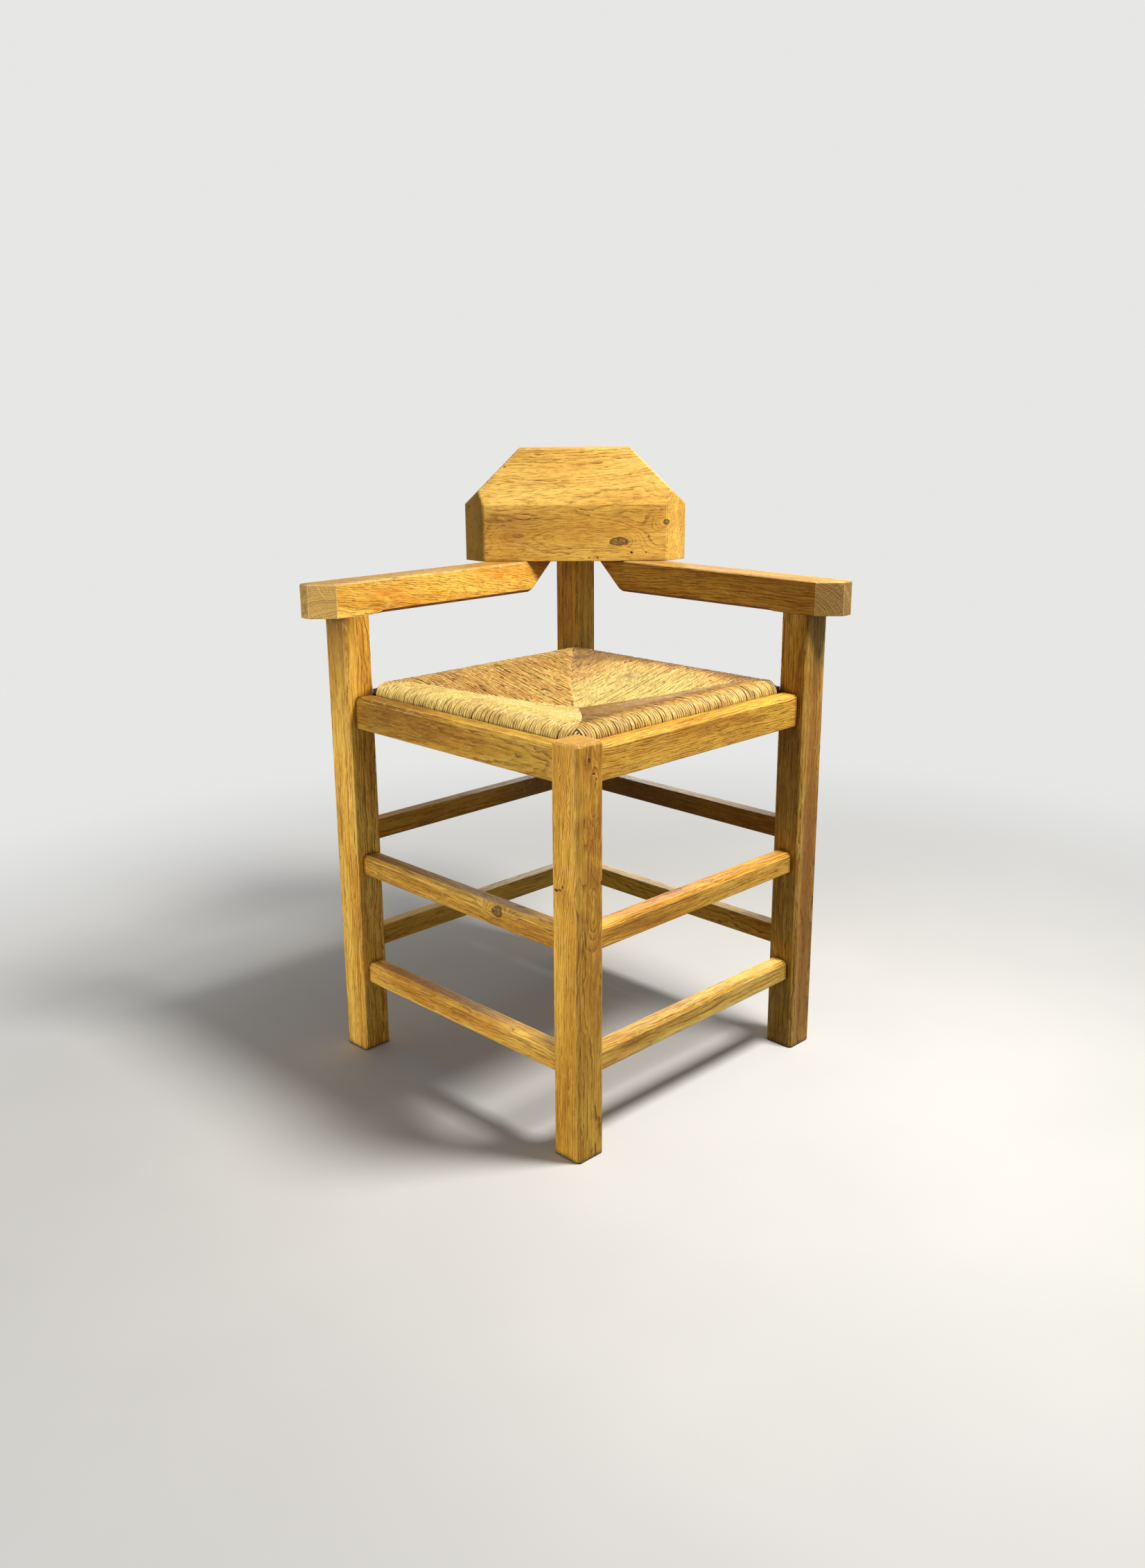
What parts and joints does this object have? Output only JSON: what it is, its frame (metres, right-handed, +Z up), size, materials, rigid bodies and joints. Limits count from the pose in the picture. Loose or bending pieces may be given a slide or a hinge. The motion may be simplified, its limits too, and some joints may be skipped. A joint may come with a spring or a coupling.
{
  "type": "corner chair",
  "caption": "Oak corner chair on square legs with tenoned rails and stretchers, open arms, a thick head block and a drop-in rush seat.",
  "frame": {"origin": "on the floor under the middle of the four legs", "axes": "+Z up; -Y towards the front leg, which stands between the sitter's knees; +Y towards the back post and head block; +X to the right seen from the front leg"},
  "size_m": [0.6236, 0.5756, 0.7175],
  "materials": {
    "oak": "oiled and waxed honey oak",
    "beech": "planed, unfinished",
    "rush": "natural twisted rush",
    "screw_steel": "plain"
  },
  "bodies": {
    "root": {"back_corner_brace": "oak", "back_left_lower_stretcher": "oak", "back_left_seat_frame": "beech", "back_left_seat_rail": "oak", "back_left_upper_stretcher": "oak", "back_post": "oak", "back_post_dowels": "beech", "back_right_lower_stretcher": "oak", "back_right_seat_frame": "beech", "back_right_seat_rail": "oak", "back_right_upper_stretcher": "oak", "front_corner_brace": "oak", "front_left_lower_stretcher": "oak", "front_left_seat_frame": "beech", "front_left_seat_rail": "oak", "front_left_upper_stretcher": "oak", "front_leg": "oak", "front_right_lower_stretcher": "oak", "front_right_seat_frame": "beech", "front_right_seat_rail": "oak", "front_right_upper_stretcher": "oak", "head_block": "oak", "left_arm": "oak", "left_arm_dowels": "beech", "left_corner_brace": "oak", "left_leg": "oak", "right_arm": "oak", "right_arm_dowels": "beech", "right_corner_brace": "oak", "right_leg": "oak", "rush_seat": "rush", "seat_screws": "screw_steel"}
  },
  "joints": []
}
